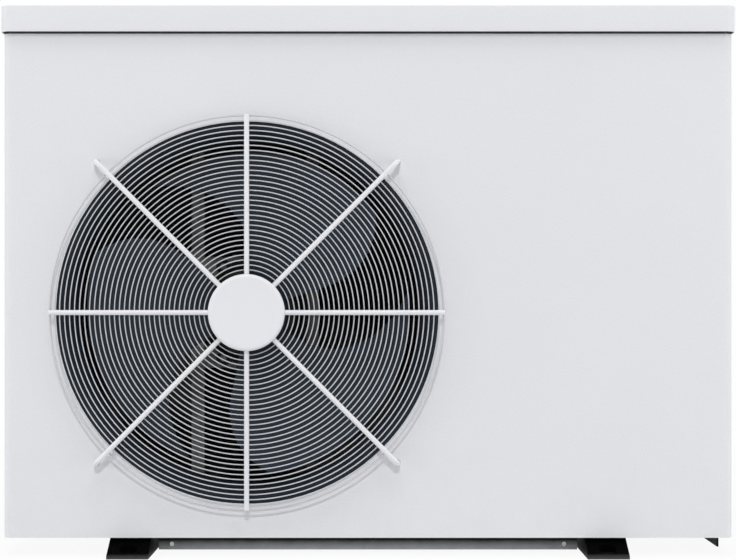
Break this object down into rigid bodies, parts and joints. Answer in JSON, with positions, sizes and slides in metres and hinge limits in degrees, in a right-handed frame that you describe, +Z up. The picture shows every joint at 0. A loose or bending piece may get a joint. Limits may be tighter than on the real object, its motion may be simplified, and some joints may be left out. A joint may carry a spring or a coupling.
{
  "type": "pool heat pump unit",
  "caption": "Air-source pool heat pump: white sheet-metal casing with a round wire fan guard and fan, finned coil at the back, black foot rails and pipe unions on the right side.",
  "frame": {"origin": "centre of the four anchor holes in the foot rails, on the floor plane", "axes": "+Z up, -Y out of the front with the fan guard, +X towards the water unions"},
  "size_m": [0.897, 0.39, 0.6475],
  "materials": {
    "white_paint": "powder coat, satin",
    "white_wire": "powder coat on wire",
    "white_plastic": "moulded, satin",
    "black_paint": "black paint, satin",
    "black_plastic": "moulded, fine grain",
    "slate_plastic": "moulded dark grey",
    "zinc": "galvanised sheet",
    "motor_paint": "dark grey paint",
    "fin_aluminium": "mill finish fins",
    "copper": "drawn copper tube",
    "titanium": "bare titanium tube",
    "rubber": "moulded rubber",
    "board": "green circuit board with its components",
    "display": "dark display window"
  },
  "bodies": {
    "casing": {"base_pan": "zinc", "foot_left": "black_paint", "foot_right": "black_paint", "cross_rail": "zinc", "connection_plate": "black_paint", "front_panel": "white_paint", "bellmouth_ring": "slate_plastic", "right_side_panel": "white_paint", "left_side_panel": "white_paint", "rear_panel": "white_paint", "top_cover": "white_paint", "partition_plate": "zinc", "casing_screws": "zinc", "base_bolts": "zinc", "guard_rings": "white_wire", "guard_spokes": "white_wire", "guard_legs": "white_wire", "guard_nuts": "zinc", "guard_disc": "white_wire", "fan_motor": "motor_paint", "motor_bracket": "zinc", "motor_screws": "zinc", "evaporator_fins": "fin_aluminium", "evaporator_bends": "copper", "evaporator_plates": "zinc", "coil_guard": "black_paint", "compressor": "black_paint", "compressor_grommets": "rubber", "accumulator": "black_paint", "reversing_valve": "copper", "valve_coils": "black_plastic", "expansion_valve": "zinc", "discharge_pipe": "copper", "suction_pipe": "copper", "liquid_pipe": "copper", "gas_pipe": "copper", "exchanger_shell": "black_plastic", "exchanger_cap": "black_plastic", "titanium_coil": "titanium", "inlet_tail": "slate_plastic", "outlet_tail": "slate_plastic", "flow_switch": "slate_plastic", "control_box": "zinc", "control_board": "board", "heat_sink": "fin_aluminium", "cable_glands": "black_plastic", "service_cover": "white_paint", "control_bezel": "slate_plastic", "control_display": "display", "drain_spigot": "black_plastic"},
    "fan": {"fan_wheel": "slate_plastic", "fan_shaft": "zinc", "fan_nut": "zinc"},
    "inlet_union_nut": {"inlet_nut": "slate_plastic"},
    "outlet_union_nut": {"outlet_nut": "slate_plastic"},
    "paddle": {"flow_paddle": "zinc"},
    "flap": {"control_flap": "white_plastic"},
    "power_key": {"key_power": "black_plastic"},
    "up_key": {"key_up": "black_plastic"},
    "down_key": {"key_down": "black_plastic"}
  },
  "joints": [
    {"name": "fan_spin", "type": "hinge", "parent": "casing", "child": "fan", "pos_m": [-0.142, -0.121, 0.287], "axis": [0, -1, 0], "continuous": true},
    {"name": "inlet_nut_turn", "type": "hinge", "parent": "casing", "child": "inlet_union_nut", "pos_m": [0.433, 0.085, 0.11], "axis": [1, 0, 0], "continuous": true},
    {"name": "outlet_nut_turn", "type": "hinge", "parent": "casing", "child": "outlet_union_nut", "pos_m": [0.433, 0.085, 0.31], "axis": [1, 0, 0], "continuous": true},
    {"name": "flap_hinge", "type": "hinge", "parent": "casing", "child": "flap", "pos_m": [0.4385, 0.045, 0.585], "axis": [0, -1, 0], "range_deg": [0, 105]},
    {"name": "power_press", "type": "slide", "parent": "casing", "child": "power_key", "axis": [-1, 0, 0], "range_m": [0, 0.0012], "stiffness_N_per_m": 300, "springref_m": -0.002},
    {"name": "up_press", "type": "slide", "parent": "casing", "child": "up_key", "axis": [-1, 0, 0], "range_m": [0, 0.0012], "stiffness_N_per_m": 300, "springref_m": -0.002},
    {"name": "down_press", "type": "slide", "parent": "casing", "child": "down_key", "axis": [-1, 0, 0], "range_m": [0, 0.0012], "stiffness_N_per_m": 300, "springref_m": -0.002},
    {"name": "paddle_swing", "type": "hinge", "parent": "casing", "child": "paddle", "pos_m": [0.404, 0.085, 0.3501], "axis": [0, -1, 0], "range_deg": [0, 10], "stiffness_Nm_per_rad": 0.01, "springref_deg": -166.16}
  ]
}
